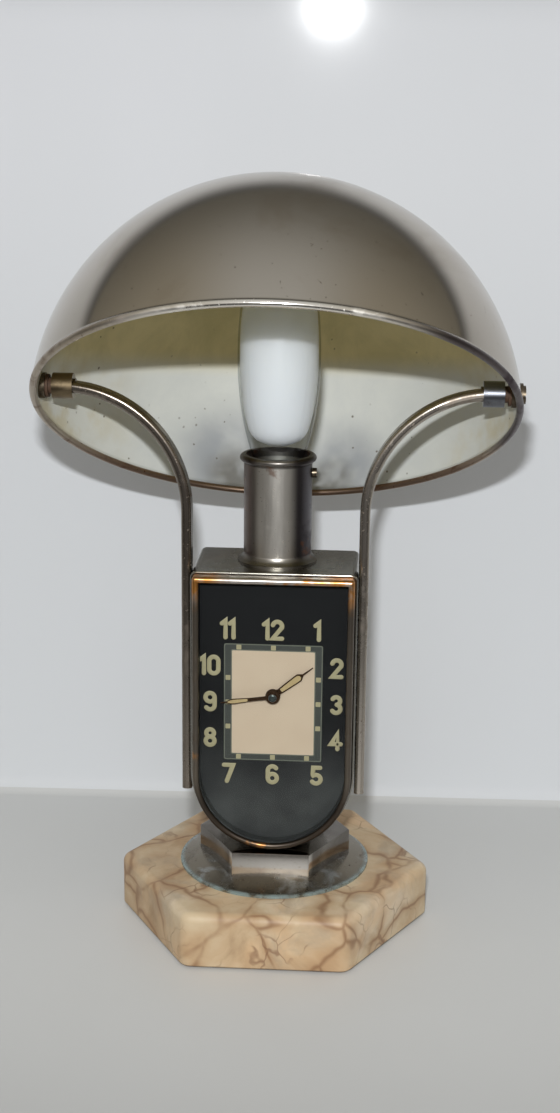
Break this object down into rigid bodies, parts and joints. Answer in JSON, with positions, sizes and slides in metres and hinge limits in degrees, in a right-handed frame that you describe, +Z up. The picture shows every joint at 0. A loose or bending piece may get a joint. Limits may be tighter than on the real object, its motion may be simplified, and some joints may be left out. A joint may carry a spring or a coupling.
{
  "type": "table clock lamp",
  "caption": "Table lamp with a U-shaped clock case on a hexagonal marble base, a candle bulb and a domed metal shade that tilts between two bent arms.",
  "frame": {"origin": "middle of the underside of the felt under the marble base", "axes": "+Z up, the clock dial faces -Y, +X to the right seen from the front"},
  "size_m": [0.2032, 0.1824, 0.3275],
  "materials": {
    "felt": "matt",
    "marble": "polished",
    "brass": "satin",
    "steel": "satin",
    "chrome": "polished, aged",
    "worn_chrome": "worn through to brass at the edges",
    "collar_metal": "dull copper brown",
    "shade_metal": "nickel plated outside, cream paint inside",
    "dial_black": "matt",
    "hand_black": "matt",
    "clear_glass": "polished",
    "opal_glass": "polished",
    "porcelain": "glazed",
    "fibre": "matt"
  },
  "bodies": {
    "root": {"base_felt": "felt", "marble_base": "marble", "cord_bush": "brass", "base_washer": "steel", "base_nut": "brass", "tie_rod": "brass", "foot_disc": "chrome", "foot_hex": "chrome", "case_saddle": "steel", "case_nut": "brass", "case_shell": "chrome", "front_bezel": "worn_chrome", "dial_glass": "clear_glass", "glass_retainer": "dial_black", "dial_plate": "dial_black", "clamp_frame": "brass", "rear_cover": "chrome", "rear_screws": "steel", "dial_pillars": "brass", "movement_plate": "brass", "movement_cover": "steel", "minute_stud": "steel", "holder_nipple": "brass", "nipple_nut": "brass", "holder_sleeve": "chrome", "lampholder": "porcelain", "socket_shell": "brass", "socket_contact": "brass", "holder_screw": "steel", "bulb_cap": "worn_chrome", "bulb_glass": "opal_glass", "arm_left": "chrome", "arm_right": "chrome", "arm_screws": "steel", "pivot_collars": "collar_metal", "pivot_washers": "fibre", "pivot_screws": "worn_chrome"},
    "shade": {"shade": "shade_metal", "shade_pads": "worn_chrome", "shade_cups": "worn_chrome"},
    "minute": {"minute_hand": "hand_black", "center_arbor": "steel", "cannon_pinion": "steel", "center_pinion": "steel", "setting_knob": "brass"},
    "minute_wheel": {"minute_wheel": "brass"},
    "hour": {"hour_hand": "hand_black", "hour_wheel": "brass"},
    "barrel": {"spring_barrel": "brass"},
    "winder": {"winding_arbor": "steel", "winding_key": "brass"}
  },
  "joints": [
    {"name": "shade_tilt", "type": "hinge", "parent": "root", "child": "shade", "pos_m": [0, -0.0129, 0.23952], "axis": [1, 0, 0], "range_deg": [-27.5, 92.5]},
    {"name": "minute_turn", "type": "hinge", "parent": "root", "child": "minute", "pos_m": [0, 0, 0.10932], "axis": [0, 1, 0], "continuous": true},
    {"name": "minute_wheel_turn", "type": "hinge", "parent": "root", "child": "minute_wheel", "pos_m": [0.0072, 0, 0.10932], "axis": [0, 1, 0], "continuous": true},
    {"name": "hour_turn", "type": "hinge", "parent": "root", "child": "hour", "pos_m": [0, 0, 0.10932], "axis": [0, 1, 0], "continuous": true},
    {"name": "barrel_turn", "type": "hinge", "parent": "root", "child": "barrel", "pos_m": [0, 0, 0.09168], "axis": [0, 1, 0], "continuous": true},
    {"name": "key_turn", "type": "hinge", "parent": "root", "child": "winder", "pos_m": [0, 0, 0.09168], "axis": [0, 1, 0], "continuous": true}
  ],
  "couplings": [
    {"joint": "minute_turn", "follows": "barrel_turn", "ratio": -6},
    {"joint": "minute_wheel_turn", "follows": "barrel_turn", "ratio": 2},
    {"joint": "hour_turn", "follows": "barrel_turn", "ratio": -0.5}
  ]
}
